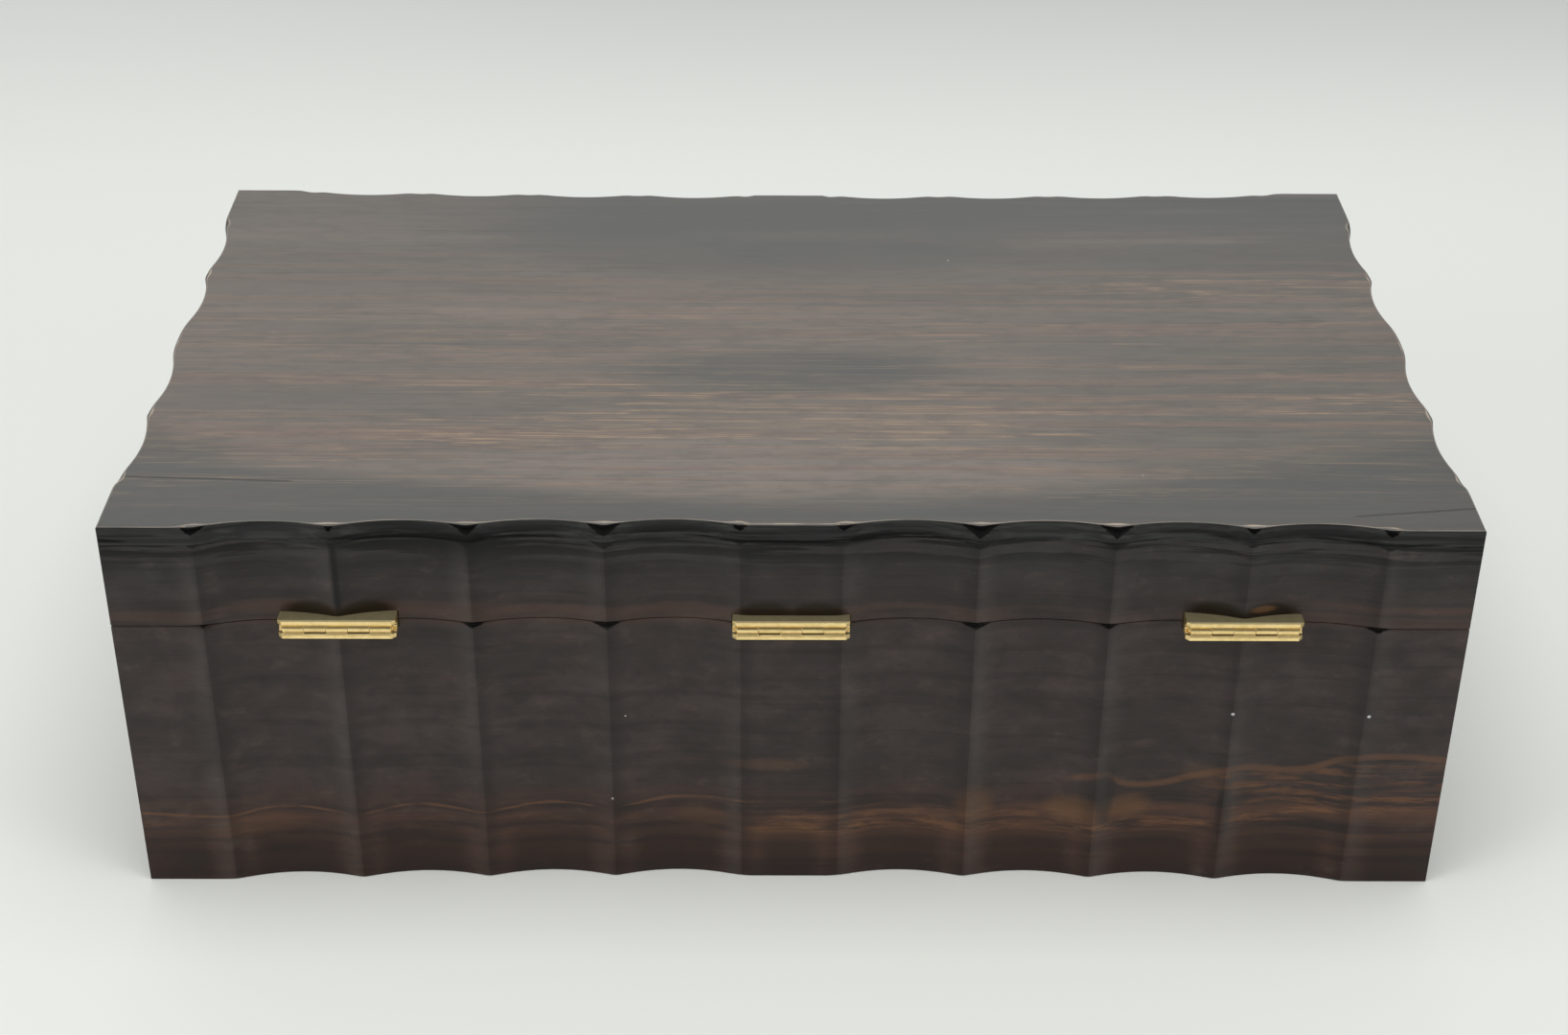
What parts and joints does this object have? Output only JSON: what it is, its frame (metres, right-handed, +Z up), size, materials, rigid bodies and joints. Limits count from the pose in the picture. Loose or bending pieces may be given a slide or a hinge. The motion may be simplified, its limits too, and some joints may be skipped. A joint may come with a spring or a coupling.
{
  "type": "writing box",
  "caption": "Fluted hardwood writing box with a hinged lid, brass stop hinges, box lock, writing board, pen tray and inkwells.",
  "frame": {"origin": "middle of the flat underside, over the flat lands at the corners", "axes": "+X along the width, +Y towards the hinged back, +Z up"},
  "size_m": [0.4, 0.2339, 0.13],
  "materials": {
    "dark_wood": "polished dark streaked hardwood",
    "inner_wood": "satin reddish hardwood",
    "brass": "tarnished, polished on its edges",
    "screws": "slotted brass screws",
    "glass": "clear",
    "leather": "worn dark green",
    "lining_cloth": "short-napped dark red"
  },
  "bodies": {
    "case": {"base_back_wall": "dark_wood", "base_bottom_board": "inner_wood", "base_front_wall": "dark_wood", "base_left_wall": "dark_wood", "base_right_wall": "dark_wood", "board_ledge_back": "inner_wood", "board_ledge_front": "inner_wood", "board_ledge_left": "inner_wood", "board_ledge_right": "inner_wood", "hinge_base_leaf_centre": "brass", "hinge_base_leaf_left": "brass", "hinge_base_leaf_right": "brass", "hinge_base_screws": "screws", "hinge_pin_centre": "brass", "hinge_pin_left": "brass", "hinge_pin_right": "brass", "inkwell_bottle_left": "glass", "inkwell_bottle_right": "glass", "inkwell_cap_pin_left": "brass", "inkwell_cap_pin_right": "brass", "inkwell_collar_left": "brass", "inkwell_collar_right": "brass", "inkwell_floor_left": "inner_wood", "inkwell_floor_right": "inner_wood", "inkwell_partition_left": "inner_wood", "inkwell_partition_right": "inner_wood", "keyhole_escutcheon": "brass", "lock_case": "brass", "lock_screws": "screws", "long_partition": "inner_wood", "tray_ledge_left": "inner_wood", "tray_ledge_right": "inner_wood", "well_lining": "lining_cloth"},
    "lid": {"hinge_lid_leaf_centre": "brass", "hinge_lid_leaf_left": "brass", "hinge_lid_leaf_right": "brass", "hinge_lid_screws": "screws", "lid_back_wall": "dark_wood", "lid_front_wall": "dark_wood", "lid_left_wall": "dark_wood", "lid_lining": "lining_cloth", "lid_right_wall": "dark_wood", "lid_top_board": "dark_wood", "link_plate_screws": "screws", "lock_link_plate": "brass"},
    "lock_bolt": {"lock_bolt": "brass"},
    "writing_board": {"writing_board": "inner_wood", "writing_leather": "leather", "board_pull_tab": "leather"},
    "pen_tray": {"pen_tray": "inner_wood"},
    "inkwell_cap_left": {"inkwell_cap_left": "brass"},
    "inkwell_cap_right": {"inkwell_cap_right": "brass"}
  },
  "joints": [
    {"name": "lid_hinge", "type": "hinge", "parent": "case", "child": "lid", "pos_m": [0, 0.1163, 0.0958], "axis": [-1, 0, 0], "range_deg": [0, 95]},
    {"name": "lock_bolt_slide", "type": "slide", "parent": "case", "child": "lock_bolt", "axis": [1, 0, 0], "range_m": [0, 0.0034]},
    {"name": "writing_board_lift", "type": "slide", "parent": "case", "child": "writing_board", "axis": [0, 0, 1], "range_m": [0, 0.02]},
    {"name": "pen_tray_lift", "type": "slide", "parent": "case", "child": "pen_tray", "axis": [0, 0, 1], "range_m": [0, 0.02]},
    {"name": "inkwell_cap_left_hinge", "type": "hinge", "parent": "case", "child": "inkwell_cap_left", "pos_m": [-0.16, 0.0929, 0.088], "axis": [-1, 0, 0], "range_deg": [0, 95]},
    {"name": "inkwell_cap_right_hinge", "type": "hinge", "parent": "case", "child": "inkwell_cap_right", "pos_m": [0.16, 0.0929, 0.088], "axis": [-1, 0, 0], "range_deg": [0, 95]}
  ]
}
